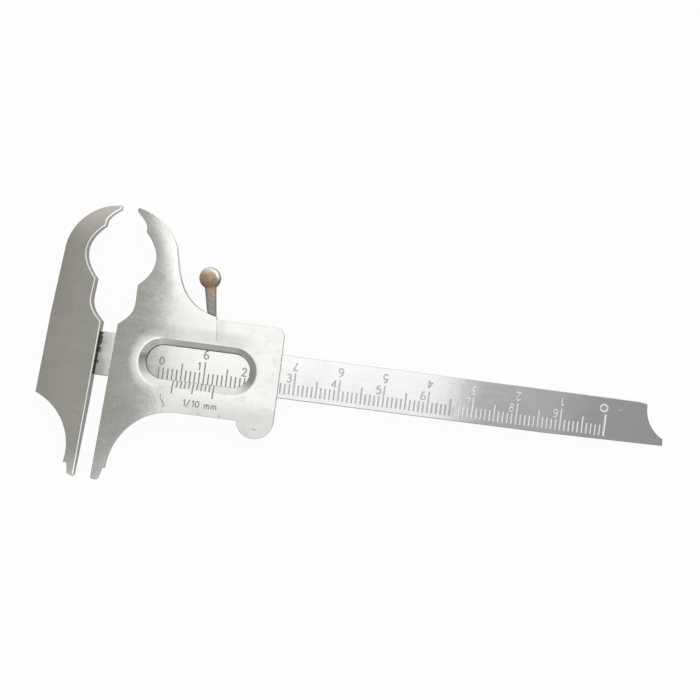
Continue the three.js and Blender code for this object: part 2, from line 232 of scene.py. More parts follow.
floor_mesh = bpy.data.meshes.new("floor")
floor_mesh.from_pydata(
    [(-2, -2, 0), (2, -2, 0), (2, 2, 0), (-2, 2, 0)], [], [(0, 1, 2, 3)],
)
floor = add("floor", floor_mesh)
floor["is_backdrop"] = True

paper = Shader(bpy.data.materials.new("floor_paper"))
floor_mesh.materials.append(paper.owner)
paint = paper.nodes["Principled BSDF"]
paper.wire(paint, {
    "Base Color": (0.9, 0.9, 0.9, 1), "Roughness": 0.9, "Specular IOR Level": 0.1,
})
seen = paper.node("LightPath", out="Is Camera Ray")
mirrored = (
    paper.node("LightPath", out="Is Glossy Ray")
    + paper.node("LightPath", out="Is Transmission Ray")
)
glow = paper.node("Emission", None, {"Color": (1, 1, 1, 1), "Strength": 1})
both = paper.node("MixShader", None, {
    0: seen * GLOW_SEEN + mirrored * GLOW_MIRRORED, 1: Value(paper, paint.outputs[0]), 2: glow,
})
paper.wire(paper.nodes["Material Output"], {"Surface": both})

# %% Sky
FRONT_LEVEL, SIDE_SLOPE, CEILING_LEVEL, CEILING_SLOPE = 0.5, 0.09, 0.49, 0.12
LOW_BEHIND, MIDDLE_BEHIND, MIDDLE_RISE = 1.3, 0.95, 0.04

world = bpy.data.worlds.new("studio")
bpy.context.scene.world = world
sky = Shader(world)
way = sky.node("TexCoord", out="Generated")


def towards(x, y, z):
    """How nearly a direction of the sky points this way, 1 at best"""
    aim = Vector((x, y, z)).normalized()
    return sky.vector("DOT_PRODUCT", way, aim, "Value")


height = towards(0, 0, 1)
behind = sky.ease(towards(0.3, 0.95, 0), -0.1, 1.0)
around = FRONT_LEVEL + towards(1, -1, 0) * SIDE_SLOPE
low_sky = around + LOW_BEHIND * behind
middle_sky = around + MIDDLE_RISE + MIDDLE_BEHIND * behind
ring = sky.ease(height, 0.25, 0.45)
cap = sky.ease(towards(-0.05, -0.12, 1), 0.66, 0.9)
ceiling = CEILING_LEVEL - CEILING_SLOPE * towards(1, 0, 0)
level = (low_sky * (1 - ring) + middle_sky * ring) * (1 - cap) + ceiling * cap
warm = sky.ease(towards(-1, 0, 0), 0.0, 0.3) * cap
tint = sky.mix(warm, (1, 1, 0.985, 1), (1.025, 1, 0.935, 1))
light = sky.node("Background", None, {"Color": tint, "Strength": level})
plain = sky.node("Background", None, {"Color": (1, 1, 1, 1), "Strength": 1})
shown = sky.node("MixShader", None, {
    0: sky.node("LightPath", out="Is Camera Ray"), 1: light, 2: plain,
})
sky.wire(sky.nodes["World Output"], {"Surface": shown})

# %% Lamps
PANEL_HEIGHT, PANEL_NEAR, PANEL_FAR = 600, -140, 210
PANEL_LEFT, PANEL_EDGE, PANEL_RIGHT = -103, 163, 262


def panel(name, left, right, radiance):
    """A soft panel above the gauge, facing down, as bright as a surface of this radiance"""
    lamp = bpy.data.lights.new(name, "AREA")
    lamp.shape = "RECTANGLE"
    lamp.size = (right - left) * MM
    lamp.size_y = (PANEL_FAR - PANEL_NEAR) * MM
    lamp.energy = math.pi * lamp.size * lamp.size_y * radiance
    middle = ((left + right) / 2, (PANEL_NEAR + PANEL_FAR) / 2, BEAM_TOP + PANEL_HEIGHT)
    add(name, lamp).location = ZERO + Vector(middle) * MM


panel("overhead_panel", PANEL_LEFT, PANEL_EDGE, radiance=1.14)
panel("side_panel", PANEL_EDGE, PANEL_RIGHT, radiance=0.22)

# %% [markdown]
# ## Finishes
# Every steel part was ground flat and polished to a satin. Close up it is never even: it has
# cloudy patches a few millimetres wide, faint polishing smears along the beam, a fine grain and
# stray scratches. Each is a noise of its own size and feeds the colour, the roughness and the
# bump a little. Places are in millimetres from the scale's zero mark.


# %% Steel
DARK_PATCH, PALE_PATCH = 0.84, 1.16
STEEP_SIDE_SHADE = (0.07, 0.068, 0.064)
RELIEF = 0.012
SCRATCHES = ((38, (0.25, 9, 9), 0.2), (-62, (0.2, 8, 8), 0.21))


def steel(
    name, tint, rough, smear=1.0, grain=1.0, wave=1.0, steep_side_shade=0.75, metal=1.0, wear_and_painted_light=None, bent=None,
):
    """Satin metal with patches, smears, grain and scratches, and painted shade on its steep sides
    """
    made = Shader(bpy.data.materials.new(name))
    place = made.vector("SUBTRACT", made.node("TexCoord", out="Object"), ZERO)
    place = made.vector("MULTIPLY", place, (1 / MM, 1 / MM, 1 / MM))
    patches = made.noise(place, (0.22, 0.3, 0.3), 4, 0.55)
    smears = made.noise(place, (0.16, 1.6, 1.0), 5, 0.6) * smear
    grains = made.noise(place, (2.4, 2.4, 2.4), 3, 0.75) * grain
    lines = 0
    for angle, cells, least in SCRATCHES:
        turned = made.node("VectorRotate", {"rotation_type": "Z_AXIS"}, {
            "Vector": place, "Angle": math.radians(angle),
        })
        lines = lines + made.ease(made.noise(turned, cells, 2), least, 0.26)
    light = patches * 0.7 + smears * 0.35 + grains * 0.45 + 0.5 - lines * 0.25
    dark = [shade * DARK_PATCH for shade in tint]
    pale = [min(1, shade * PALE_PATCH) for shade in tint]
    colour = made.mix(light, (*dark, 1), (*pale, 1))
    # Mixes in each mask's colour: the part's own tones and wear, and painted light and shade.
    for share, shade in (wear_and_painted_light(made, place, patches) if wear_and_painted_light else ()):
        colour = made.mix(share, colour, (*shade, 1))
    # Steep sides are painted darker: this is painted shade, standing for the dim surroundings that
    # they reflect.
    upright = made.part(made.node("NewGeometry", out="Normal"), "Z")
    steep = made.fade(made.maths("ABSOLUTE", upright), 0.3, 0.62)
    colour = made.mix(steep * steep_side_shade, colour, (*STEEP_SIDE_SHADE, 1))
    uneven = patches * 0.06 + smears * 0.04 + grains * 0.05 + lines * 0.06
    relief = patches * wave + smears * 0.1 + grains * 0.05 - lines * 0.03
    if bent:
        relief = relief - bent(made, *made.plan(place))
    bump = made.node("Bump", None, {"Strength": 1, "Distance": RELIEF * MM, "Height": relief})
    made.wire(made.nodes["Principled BSDF"], {
        "Metallic": metal, "Base Color": colour, "Roughness": rough + steep * 0.2 + uneven,
        "Normal": bump,
    })
    return made.owner


# %% [markdown]
# No piece has quite the same tone all over, and some of these tones are painted light and shade.
# The fixed jaw has painted shade towards its left end and painted highlights on both tips. The
# beam is paler between the jaws and darker beside the braze, with painted shade towards its lower
# edge and a painted highlight towards its right end. Its marks are full of old dirt up to about 65
# and rubbed clean beyond, where one wall of each groove is painted dark as shade. On the slider
# the moving beak and the lower tip have painted highlights and the hook painted shade. Round the
# window the bevel has a painted highlight above, where the light from behind meets it, and painted
# shade below, and a ring of painted shade frames its left end. The face is darker in a band above
# the window and towards the lower edge. On the lever the brown tint is a painted reflection, and a
# paler band and a bright ring on the ball are painted highlights. Each of these is a mask made
# from the place on the gauge, in millimetres, and a colour that the mask mixes in.


# %% Wear, tones and painted light
BEVEL_PAINTED_HIGHLIGHT, BEVEL_PAINTED_SHADE = (0.9, 0.895, 0.88), (0.26, 0.26, 0.255)


def bright_tip(made, place, patches):
    x, y = made.plan(place)
    # Painted shade towards the jaw's left end, and painted highlights on the upper beak and the
    # lower tip.
    return [
        (made.fade(x, -27, -17) * (0.35 + made.ease(y, 4, 13) * 0.4), (0.4, 0.397, 0.375)),
        (made.ease(y, 23, 33.5), (0.93, 0.92, 0.88)),
        (made.fade(y, -28, -21) * 0.7, (0.85, 0.84, 0.8)),
    ]


def dull_foot(made, place, patches):
    x, y = made.plan(place)
    low = made.fade(y, -9.8, -5.5)
    darker_patch = made.band(x, 11.6, 11.9, 12.6, 14.4) * made.ease(y, 5.5, 6)
    along = x + y * 0.3 + made.ease(y, 26, 31) * 2
    blots = made.ease(made.noise(place, (0.5, 0.6, 0.5), 3, 0.6), 0.02, 0.16) * made.ease(x, 9, 15)
    beak = made.band(y, 9, 25, 30, 34) * made.ease(along, 4, 7)
    hook = made.band(y, 18, 24, 27, 32) * made.fade(along, 2, 5)
    tip = made.fade(y, -28, -19)
    brow = made.band(y, 5.0, 5.5, 6.8, 9.0) * made.band(x, -6, -1, 16, 22)
    away = made.away(place, 0.83, -0.15)
    front = made.ease(made.part(place, "Z"), 1.5, 2.0)
    left = front - front * made.ease(x, -2.2, 0.4)
    bevel = made.band(away, 3.75, 3.95, 5.1, 5.3) * left
    painted_shade_ring = made.band(away, 5.5, 6.0, 6.6, 7.6) * left
    upper = made.band(y, 3.5, 3.7, 4.95, 5.1) * made.band(x, -1.5, -0.3, 16, 17) * front
    under = made.fade(y, 0.5, 1.7) * made.ease(y, -4.6, -1.6)
    return [
        # Painted highlight on the upper bevel and the upper part of its left end, painted shade on
        # the lower part.
        (upper * (0.85 - made.ease(x, -1, 5) * 0.55), BEVEL_PAINTED_HIGHLIGHT),
        (bevel * made.ease(y, 0.9, 2.0) * 0.42, BEVEL_PAINTED_HIGHLIGHT),
        (bevel * under * 0.72, BEVEL_PAINTED_SHADE),
        # A ring of painted shade round the left end of the window's bevel.
        (painted_shade_ring * 0.45, (0.3, 0.3, 0.295)),
        # Darker, with no painted light: a band above the window, the lower edge, a patch right of
        # the seam and random blots.
        (brow * (0.6 + patches), (0.41, 0.41, 0.4)),
        (low * made.ease(x, 0, 8) * (0.6 + patches), (0.37, 0.365, 0.35)),
        (darker_patch * 0.3, (0.36, 0.355, 0.34)),
        (blots * (0.5 - made.ease(y, -11, -7) * 0.2), (0.42, 0.42, 0.415)),
        # Painted highlight on the right part of the moving beak and on the lower tip, painted
        # shade on the hook.
        (beak, (0.87, 0.86, 0.84)),
        (hook * 0.6, (0.42, 0.415, 0.4)),
        (tip * 0.25, (0.88, 0.87, 0.83)),
    ]


def clean_end(made, place, patches):
    x, y = made.plan(place)
    # Paler between the jaws and darker beside the braze; painted shade towards the lower edge and
    # a painted highlight towards the right end.
    return [
        (made.fade(x, -10.3, -9.0), (0.665, 0.665, 0.655)),
        (made.fade(x + patches * 3, -13.4, -11.4) * 0.5, (0.3, 0.295, 0.285)),
        (made.fade(y, -4.85, 5) * 0.3, (0.42, 0.42, 0.42)),
        (made.ease(x, 78, 100) * 0.8, (0.65, 0.65, 0.635)),
    ]


def rubbed_marks(made, place, patches):
    x = made.part(place, "X") + patches * 5
    shaded = made.ease(made.part(made.node("TexCoord", out="Normal"), "X"), 0.25, 0.5)
    return [
        (made.fade(x, 18, 24), (0.4, 0.4, 0.395)),
        (made.ease(x, 64, 67.5), (0.82, 0.82, 0.81)),
        # Painted shade on the groove walls that face +x, where the marks are rubbed clean.
        (shaded * made.band(x, 60, 64, 78, 92), (0.07, 0.07, 0.07)),
    ]


def tarnish(made, place, patches):
    x, y = made.plan(place)
    flecks = made.noise(place, (1.4, 1.4, 1.4), 3, 0.7)
    away = made.away(place, 8.33, 19.2) + patches * 0.6 + flecks * 0.7
    stem = made.fade(y, 16.5, 17.5)
    ball = made.ease(y, 18.8, 20.2)
    return [
        # A paler band over the ball's upper left and a bright ring round the ball are painted
        # highlights; the brown on the stem is a painted reflection, greyer towards the foot; the
        # flecks are the metal's own.
        (made.ease(y - x * 0.9 + patches * 6, 10.9, 14.0) * 0.8, (0.58, 0.55, 0.36)),
        (made.fade(y + patches * 5, 15.2, 18.4), (0.335, 0.275, 0.245)),
        (made.fade(y + patches * 8, 12.2, 16.0), (0.31, 0.298, 0.275)),
        (made.ease(flecks, 0.03, 0.16) * stem * 0.35, (0.7, 0.69, 0.66)),
        (made.ease(away, 1.85, 2.35) * ball, (0.97, 0.97, 0.93)),
        (made.ease(flecks, 0.05, 0.2) * (1 - stem) * 0.4, (0.3, 0.24, 0.2)),
    ]


FIXED_STEEL = steel(
    "satin_jaw_steel", (0.55, 0.547, 0.523), 0.115, smear=0.5, grain=1.7, steep_side_shade=0.55,
    wear_and_painted_light=bright_tip, bent=lambda made, x, y: x * made.fade(y, -28, -18) * 2.5,
)
SLIDER_STEEL = steel(
    "satin_slider_steel", (0.57, 0.567, 0.553), 0.115, smear=0.7, grain=1.6, steep_side_shade=0.35,
    wear_and_painted_light=dull_foot,
    bent=lambda made, x, y: x * (made.ease(y, 18, 30) * 0.5 + 2.2 - made.ease(y, -28, -14) * 2.2),
)
BEAM_STEEL = steel(
    "polished_beam_steel", (0.585, 0.585, 0.575), 0.12, smear=1.3, grain=1.4, wear_and_painted_light=clean_end,
    bent=lambda made, x, y: made.maths("MINIMUM", x, -9.6) * 2.6,
)
# Dark groove steel: dirt in the tool marks and seams, and a painted shadow on the window's lip.
GROOVE_DIRT_AND_SHADOW = steel("groove_dirt_and_painted_shadow", (0.24, 0.238, 0.232), 0.4, grain=2.0, steep_side_shade=0.3)
VERNIER_DIRT = steel("vernier_dirt", (0.41, 0.41, 0.405), 0.5, grain=2.5, steep_side_shade=0.0)
MARK_STEEL = steel(
    "scale_mark_steel", (0.56, 0.56, 0.555), 0.32, grain=2.0, steep_side_shade=0.0, wear_and_painted_light=rubbed_marks,
    bent=lambda made, x, y: made.maths("MAXIMUM", x, 62.5) * -3,
)
SPRING_STEEL = steel("hard_spring_steel", (0.42, 0.42, 0.42), 0.3)
# The brown tint is a painted reflection of warm surroundings on the polished nickel.
NICKEL = steel(
    "nickel_with_painted_reflection", (0.42, 0.3, 0.215), 0.42, grain=4.0, wave=3.0, steep_side_shade=0.7, metal=0.7,
    wear_and_painted_light=tarnish,
)
BRAZE = steel("scorched_braze", (0.12, 0.11, 0.1), 0.5, grain=3.0, wave=6.0, steep_side_shade=0.2)

# %% [markdown]
# ## Drawing helpers
# The parts are flat, so each starts as an outline. An outline is a list of (x, y, edge) points,
# where edge is how wide the top edge is rounded there: a hair's breadth on most of it, more
# along the measuring edges.


# %% Lines and curves
def between(first, last, share):
    return first + (last - first) * share


def arc(centre, radius, start, end, steps):
    turns = [start + (end - start) * i / steps for i in range(steps + 1)]
    return [(centre[0] + radius * math.cos(a), centre[1] + radius * math.sin(a)) for a in turns]


def oval(x, y, half, tall, steps=16):
    turns = [math.tau * i / steps for i in range(steps)]
    return [(x + half * math.cos(a), y + tall * math.sin(a)) for a in turns]


def bezier(controls, steps):
    """Points of a Bezier curve of any degree, by blending its control points in turn"""
    made = []
    for i in range(steps + 1):
        share = i / steps
        row = [Vector(c) for c in controls]
        while len(row) > 1:
            row = [a.lerp(b, share) for a, b in zip(row, row[1:])]
        made.append(tuple(row[0]))
    return made


def flow(through, steps=6):
    """A smooth line through some points"""
    ends = [through[0], *through, through[-1]]
    made = [through[0]]
    for a, b, c, d in zip(ends, ends[1:], ends[2:], ends[3:]):
        a, b, c, d = (Vector(p) for p in (a, b, c, d))
        made += bezier([b, b + (c - a) / 6, c - (d - b) / 6, c], steps)[1:]
    return made


def edged(points, edge=FINE_EDGE):
    return [(x, y, edge) for x, y in points]


def turn(points, angle):
    c, s = math.cos(angle), math.sin(angle)
    return [(x * c - y * s, x * s + y * c, *rest) for x, y, *rest in points]


def shift(points, x, y=0):
    return [(px + x, py + y, *rest) for px, py, *rest in points]


def left_handed(points):
    """The outline without repeats, run so that the metal lies on its left"""
    kept = [p for p, q in zip(points, points[1:] + points[:1]) if math.dist(p[:2], q[:2]) > 1e-4]
    area = sum(p[0] * q[1] - q[0] * p[1] for p, q in zip(kept, kept[1:] + kept[:1]))
    return kept if area > 0 else kept[::-1]


# %% [markdown]
# ## Solids from outlines
# On outlines this fine a bevel modifier leaves knots at the corners. So each edge is built ring
# by ring: every ring is the outline moved inwards a little and up a little. The flat faces in
# between are filled with triangles.


# %% Solids
def inward(points):
    """For each corner the step that moves both its sides inwards by one"""
    flat = [Vector(p[:2]) for p in points]
    steps = []
    for before, here, after in zip(flat[-1:] + flat[:-1], flat, flat[1:] + flat[:1]):
        sides = [(here - before).normalized(), (after - here).normalized()]
        a, b = (Vector((-side.y, side.x)) for side in sides)
        steps.append((a + b) / max(0.25, 1 + a.dot(b)))
    return steps


def wall(points, low, high, foot=FINE_EDGE, steps=3, flat=1.0):
    """Rings of a wall as (inset, level) lists, from its rounded foot to its rounded crest"""
    crest = np.array([p[2] for p in points])
    foot = crest * 0 + foot
    turns = [math.pi / 2 * i / steps for i in range(steps + 1)]
    below = [(foot * (1 - math.sin(a)), low + foot * (1 - math.cos(a))) for a in turns]
    above = [(crest * (1 - math.cos(a)), high - crest * (1 - math.sin(a)) * flat) for a in turns]
    return below + above


def skin(made, rows, closed=False, capped=True):
    """Joins each ring of corners to the next, and caps the ends unless the last meets the first"""
    for low, high in zip(rows, rows[1:] + (rows[:1] if closed else [])):
        for i in range(len(low)):
            made.faces.new((low[i - 1], low[i], high[i], high[i - 1]))
    if capped and not closed:
        made.faces.new(rows[0])
        made.faces.new(rows[-1][::-1])


def solid(name, loops, material):
    """A closed mesh object, in millimetres, from an outline and holes with their rings"""
    made = bmesh.new()
    caps = ([], [])
    for points, rings in loops:
        steps = inward(points)
        rows = []
        for ring in rings:
            insets, levels = (np.broadcast_to(value, len(points)) for value in ring)
            rows.append([
                made.verts.new((p[0] + s.x * i, p[1] + s.y * i, z))
                for p, s, i, z in zip(points, steps, insets, levels)
            ])
        skin(made, rows, capped=False)
        caps[0].append(rows[0])
        caps[1].append(rows[-1])
    for rows in caps:
        corners = [v for row in rows for v in row]
        for a, b, c in tessellate_polygon([[v.co for v in row] for row in rows]):
            made.faces.new((corners[a], corners[b], corners[c]))
    return as_object(name, made, material)


def as_object(name, made, material):
    bmesh.ops.recalc_face_normals(made, faces=made.faces)
    mesh = bpy.data.meshes.new(name)
    made.to_mesh(mesh)
    made.free()
    mesh.materials.append(material)
    return add(name, mesh)


@contextmanager
def editing(thing):
    """Opens an object's mesh for changes and writes it back"""
    made = bmesh.new()
    made.from_mesh(thing.data)
    yield made
    made.to_mesh(thing.data)
    made.free()


def prism(points, low, high, material, grown=0):
    """A sharp-edged solid that is only used to cut"""
    return solid("cutter", [(points, [(-grown, low), (-grown, high)])], material)


def block(left, right, near, far, high):
    """A box, from the table up, that is only used to cut"""
    corners = [(left, near), (right, near), (right, far), (left, far)]
    return prism(corners, 0, high, SLIDER_STEEL)


def carve(thing, cutter, operation="DIFFERENCE", crossing=False):
    """Cuts one solid with another, whose material lines the cut and which may cross itself"""
    saw = thing.modifiers.new("saw", "BOOLEAN")
    saw.operation = operation
    saw.solver = "EXACT"
    saw.use_self = crossing
    saw.material_mode = "TRANSFER"
    saw.object = cutter
    graph = bpy.context.evaluated_depsgraph_get()
    mesh = bpy.data.meshes.new_from_object(thing.evaluated_get(graph))
    thing.modifiers.clear()
    thing.data = mesh
    bpy.data.objects.remove(cutter)


LEVEL, LEVEL_WEIGHT = 0.98, 1000


def shading(made, limit):
    """A normal for each corner: near-level faces far outweigh the rounded edges beside them"""
    normals = []
    for face in made.faces:
        for corner in face.verts:
            total = Vector((0, 0, 0))
            for near in corner.link_faces:
                if near.normal.dot(face.normal) > limit:
                    weight = LEVEL_WEIGHT if abs(near.normal.z) > LEVEL else 1
                    total += near.normal * near.calc_area() * weight
            normals.append(total.normalized() if total.length else face.normal.copy())
    return normals


def dress(thing, body, slot, *nodes, crease=38):
    """Scales a part to metres, opens the jaws and gives it its body and shading; slot is not used
    """
    slide = Vector((0 if body == "frame" else OPENING * MM, 0, 0))
    with editing(thing) as made:
        bmesh.ops.scale(made, vec=(MM, MM, MM), verts=made.verts)
        bmesh.ops.translate(made, vec=ZERO + slide, verts=made.verts)
        for face in made.faces:
            face.smooth = True
        normals = shading(made, math.cos(math.radians(crease)))
    thing.data.normals_split_custom_set(normals)
    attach(thing, body)
    if nodes:
        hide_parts(*nodes)
    print(thing.name, "faces", len(thing.data.polygons))


# %% [markdown]
# ## Engraving
# The marks and numerals were pressed in with rounded tools, so a groove shows as a dark line
# where the steel around it is bright and as a bright line where the steel is grey. Only a real
# groove with sloping sides does that. Each stroke is a path with a rounded section swept along
# it, its points given as shares of the width and depth, and is then cut out of the part.

# %% Grooves
GROOVE = (
    (-0.5, 0.25), (-0.5, 0), (-0.36, -0.62), (-0.13, -1),
    (0.13, -1), (0.36, -0.62), (0.5, 0), (0.5, 0.25),
)
SHARPEST = 0.45


def groove(made, path, width, depth, closed=False, ups=None):
    """Adds to a mesh the tool that cuts one stroke: its path, its width and its depth"""
    path = [Vector(p) for p in path]
    count = len(path)
    ups = ups or [Vector((0, 0, 1))] * count
    runs = [(path[(i + 1) % count] - path[i]).normalized() for i in range(count)]
    rows = []
    for i, here in enumerate(path):
        first = i - 1 if i or closed else i
        last = i if i < count - 1 or closed else i - 1
        sides = [runs[k].cross(ups[k]) for k in (first, last)]
        side = (sides[0] + sides[1]) / max(SHARPEST, 1 + sides[0].dot(sides[1]))
        up = (ups[first] + ups[last]) / max(SHARPEST, 1 + ups[first].dot(ups[last]))
        rows.append([made.verts.new(here + side * width * s + up * depth * z) for s, z in GROOVE])
    skin(made, rows, closed)


def engrave(thing, strokes, lining):
    """Cuts strokes, each (pass, path, width, depth, closed, ups), and lines them"""
    for batch in sorted({stroke[0] for stroke in strokes}):
        made = bmesh.new()
        for number, *stroke in strokes:
            if number == batch:
                groove(made, *stroke)
        carve(thing, as_object("burin", made, lining), crossing=True)


# %% [markdown]
# ## Numerals
# The numerals are plain single strokes, as an engraver's machine follows them. They are drawn
# one unit high. Strokes of one numeral that touch each other are cut one after the other.

# %% Glyphs
MID = 0.31


def line(*points):
    return list(points), False


def pen(*through, then=()):
    """A smooth stroke through some points and straight on to others"""
    return line(*flow(through, 4), *then)


def loop(middle, half, tall, steps=16):
    return oval(MID, middle, half, tall, steps), True


GLYPHS = {
    "0": [loop(0.5, 0.27, 0.44)],
    "1": [line((0.36, 0), (0.36, 1)), line((0.36, 0.97), (0.14, 0.78))],
    "2": [pen((0.06, 0.76), (0.14, 0.93), (0.32, 0.99), (0.5, 0.9), (0.53, 0.7), (0.38, 0.45),
              (0.05, 0.02), then=[(0.6, 0.02)])],
    "3": [pen((0.08, 0.88), (0.28, 0.99), (0.49, 0.88), (0.48, 0.67), (0.22, 0.54)),
          pen((0.24, 0.53), (0.5, 0.44), (0.57, 0.24), (0.43, 0.05), (0.2, 0.01), (0.04, 0.12))],
    "4": [line((0.44, 1), (0.03, 0.3), (0.62, 0.3)), line((0.45, 0.98), (0.45, 0))],
    "5": [line((0.52, 0.98), (0.16, 0.98), *pen(
        (0.1, 0.58), (0.3, 0.64), (0.52, 0.53), (0.58, 0.3), (0.46, 0.08), (0.24, 0), (0.05, 0.1),
    )[0])],
    "6": [loop(0.27, 0.27, 0.26),
          pen((0.5, 0.93), (0.32, 0.97), (0.14, 0.78), (0.06, 0.45), (0.05, 0.28))],
    "7": [line((0.04, 0.98), (0.58, 0.98), (0.24, 0))],
    "8": [loop(0.27, 0.27, 0.26), loop(0.76, 0.23, 0.21, 14)],
    " ": [],
    "/": [line((0.02, -0.08), (0.48, 1.06))],
    "m": [line((0.04, 0), (0.04, 0.62)),
          pen((0.06, 0.42), (0.16, 0.58), (0.3, 0.6), (0.38, 0.42), then=[(0.38, 0)]),
          pen((0.4, 0.42), (0.5, 0.58), (0.64, 0.6), (0.72, 0.42), then=[(0.72, 0)])],
}
GLYPHS["9"] = [([(2 * MID - x, 1 - y) for x, y in path], closed) for path, closed in GLYPHS["6"]]
ADVANCE = {"m": 1.02, "1": 0.6, "/": 0.66, " ": 0.5, "0": 0.84}


def numeral(sign, x, y, height, width, depth, level, upright=True):
    """Strokes of one sign whose middle lies at x, y"""
    strokes = []
    for batch, (path, closed) in enumerate(GLYPHS[sign]):
        points = [((px - MID) * height, (py - 0.5) * height) for px, py in path]
        points = points if upright else turn(points, math.pi)
        placed = [(x + px, y + py, level) for px, py in points]
        strokes.append((batch, placed, width, depth, closed))
    return strokes


# %% [markdown]
# ## Beam
# The beam is a thin rule with a millimetre scale, a numeral at every ten and a second row of
# numerals upside down above them. Its free end is cut back in a hollow above a square nose.

# %% Beam
MARK_FOOT, SHORT, MIDDLE, LONG = -3.8, 2.4, 3.8, 4.8
MARK_WIDTH, RUBBED_FROM, DEEP, SHALLOW = 0.32, 66, 0.13, 0.045
DOWEL, DOWEL_HOLE, DOWEL_INSET, DOWEL_RISE = 0.8, 0.86, 2.6, 2.2


def beam_outline():
    nose, taper, notch, depth = SCALE_LENGTH + BEAM_TAIL, 27.5, 7.7, 4.5
    nose_foot, nose_height, slant, worn_edge = 0.45, 1.6, 0.15, 0.2
    nose_top = nose_foot + nose_height - BEAM_HALF
    notch_x = nose - depth
    centre_x = notch_x + notch
    centre_y = nose_top + math.sqrt(notch ** 2 - (centre_x - nose + slant) ** 2)
    start = math.atan2(nose_top - centre_y, nose - slant - centre_x) % math.tau
    worn_foot = [
        (FACE_X - BEAM_SEAT, -BEAM_HALF), (nose - taper, -BEAM_HALF),
        (nose, nose_foot - BEAM_HALF),
    ]
    return left_handed(edged(worn_foot, worn_edge) + edged([
        *arc((centre_x, centre_y), notch, start, math.pi, 40),
        (notch_x - 0.15, BEAM_HALF - 0.25), (notch_x - 2.1, BEAM_HALF),
        (FACE_X - BEAM_SEAT, BEAM_HALF),
    ]))


def hole(x, y, radius, low, high, edge=0.04, turns=(math.tau, 0), steps=40):
    """A circle and its wall, run as a hole unless turned the other way"""
    points = edged(arc((x, y), radius, *turns, steps)[:-1], edge)
    return points, wall(points, low, high, edge, steps=2)


def scale_strokes():
    """Marks and numerals, shallow where the rule has been rubbed most, a ring and a scratch"""
    strokes = []
    for i in range(SCALE_LENGTH + 1):
        length = SHORT if i % 5 or i == 0 else LONG if i % 10 == 0 else MIDDLE
        slip = random.uniform(-0.03, 0.03)
        wide = MARK_WIDTH * (1.6 if i == SCALE_LENGTH else random.uniform(0.9, 1.08))
        top = MARK_FOOT + length + random.uniform(-0.06, 0.06)
        path = [(i + slip * 0.3, MARK_FOOT + slip, BEAM_TOP), (i - slip * 0.3, top, BEAM_TOP)]
        strokes.append((0, path, wide, DEEP if i < RUBBED_FROM else SHALLOW, False))
    height, upper_height = 1.75, 1.8
    strokes += numeral("0", 0.45, 0.1, height, 0.3, DEEP, BEAM_TOP)
    for tens in range(1, 10):
        x = tens * 10
        wide, depth = (0.28, DEEP) if x < RUBBED_FROM else (0.25, SHALLOW)
        strokes += numeral(str(tens), x - 1.25, -0.1, height, wide, depth, BEAM_TOP)
        strokes += numeral(str(10 - tens), x, 2.6, upper_height, wide, depth, BEAM_TOP, False)
    ring = [(x, y, BEAM_TOP) for x, y in oval(99.5, 2.5, 0.78, 0.78, 24)]
    scratch = [(102.7, 2.3, BEAM_TOP), (103.7, 2.75, BEAM_TOP)]
    return strokes + [(0, ring, 0.46, 0.14, True), (0, scratch, 0.1, 0.03, False)]


outline = beam_outline()
dowels = [(FACE_X - BEAM_SEAT + DOWEL_INSET, DOWEL_RISE), (FACE_X - DOWEL_INSET, -DOWEL_RISE)]
beam = solid("scale_beam", [
    (outline, wall(outline, BEAM_LOW, BEAM_TOP)),
    *[hole(x, y, DOWEL_HOLE, BEAM_LOW, BEAM_TOP) for x, y in dowels],
], BEAM_STEEL)
engrave(beam, scale_strokes(), MARK_STEEL)
dress(beam, "frame", "scale_steel", "beam")

# %% [markdown]
# ## Jaws
# Both jaws share one measuring edge: straight below, then a shallow throat, a deep throat, a hook
# and the beak's tip. The fixed jaw is that edge with its own back, and the moving jaw mirrors it.

# %% Shared measuring edge
KNEE, CORNER_HEIGHT, HOOK_HEIGHT, BEAK_TIP = 6.9, 16.05, 4.05, 0.9
CORNER_DEPTH, THROAT_DEPTH, HOOK_DEPTH = 2.8, 5.75, 2.65
CROWN_RADIUS, TIP_LENGTH, TIP_WIDTH, TIP_END, TIP_ROUND = 11.88, 2.75, 2.0, 1.65, 0.55
STEP_HEIGHT = LOWER_REACH - TIP_LENGTH


def measuring_edge(edge):
    """Depth and height points up the measuring face and out to the beak's tip"""
    rise = CORNER_HEIGHT - KNEE
    tip_foot = UPPER_REACH - BEAK_TIP
    throat = tip_foot - HOOK_HEIGHT
    return edged([
        (0, TIP_ROUND - LOWER_REACH), (0, KNEE),
        *bezier([
            (0, KNEE), (1.41 * CORNER_DEPTH, KNEE + 0.38 * rise),
            (1.01 * CORNER_DEPTH, KNEE + 0.47 * rise), (CORNER_DEPTH, CORNER_HEIGHT),
        ], 28)[1:],
        *bezier([
            (CORNER_DEPTH, CORNER_HEIGHT),
            (2 * THROAT_DEPTH - (CORNER_DEPTH + HOOK_DEPTH) / 2, (CORNER_HEIGHT + throat) / 2),
            (HOOK_DEPTH, throat),
        ], 36)[1:],
        *bezier([
            (wide * HOOK_DEPTH, throat + high * HOOK_HEIGHT)
            for wide, high in ((0.96, 0.325), (0.81, 0.505), (0.57, 0.715))
        ] + [(0, tip_foot)], 20),
        (0, UPPER_REACH),
    ], edge)


def crown(crown_depth, depth):
    x = crown_depth - CROWN_RADIUS
    y = UPPER_REACH - math.sqrt(CROWN_RADIUS ** 2 - x ** 2)
    end = math.acos(min(1, (depth - x) / CROWN_RADIUS))
    return edged(arc((x, y), CROWN_RADIUS, math.atan2(UPPER_REACH - y, -x), end, 48))


